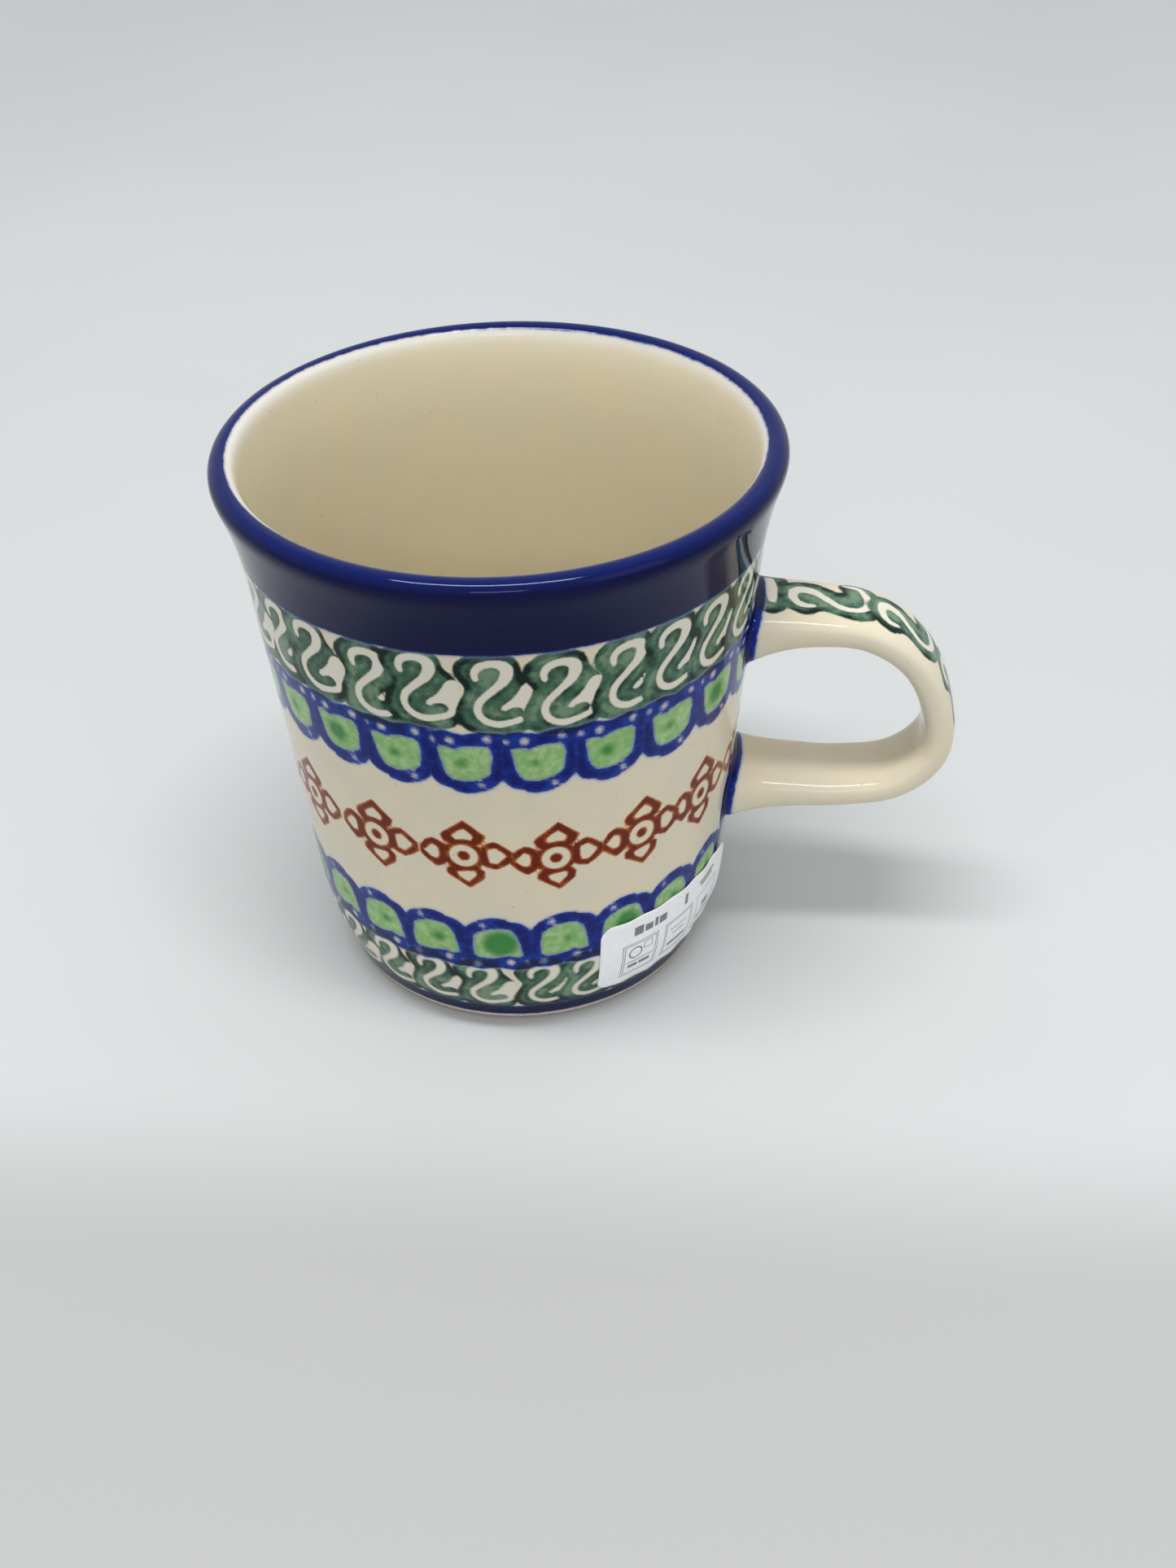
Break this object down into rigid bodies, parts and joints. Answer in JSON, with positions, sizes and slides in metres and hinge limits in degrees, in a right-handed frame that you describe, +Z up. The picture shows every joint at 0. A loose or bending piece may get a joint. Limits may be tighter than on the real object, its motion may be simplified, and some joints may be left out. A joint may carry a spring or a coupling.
{
  "type": "stoneware mug",
  "caption": "Straight glazed stoneware mug with a flared rim, foot ring, luted strap handle, stamped underglaze bands and a small paper care label.",
  "frame": {"origin": "middle of the base of the whole mug's bounding box, on the plane the foot ring stands on; the body's own axis stands 13.6 mm towards -X from it, because the handle reaches out on +X", "axes": "+Z up along the body's axis, +X towards the handle, +Y to the left of the handle seen from above with the handle pointing right"},
  "size_m": [0.111, 0.0838, 0.0879],
  "materials": {
    "glazed_body": "gloss clear glaze over cream stoneware with cobalt, green and brown underglaze",
    "glazed_handle": "gloss clear glaze over cream stoneware with a green stamped scroll",
    "joint_slip": "gloss clear glaze over a brushed cobalt line",
    "label_paper": "smooth white coated paper with grey print"
  },
  "bodies": {
    "root": {"mug_body": "glazed_body", "handle": "glazed_handle", "upper_slip_joint": "joint_slip", "lower_slip_joint": "joint_slip", "care_label": "label_paper"}
  },
  "joints": []
}
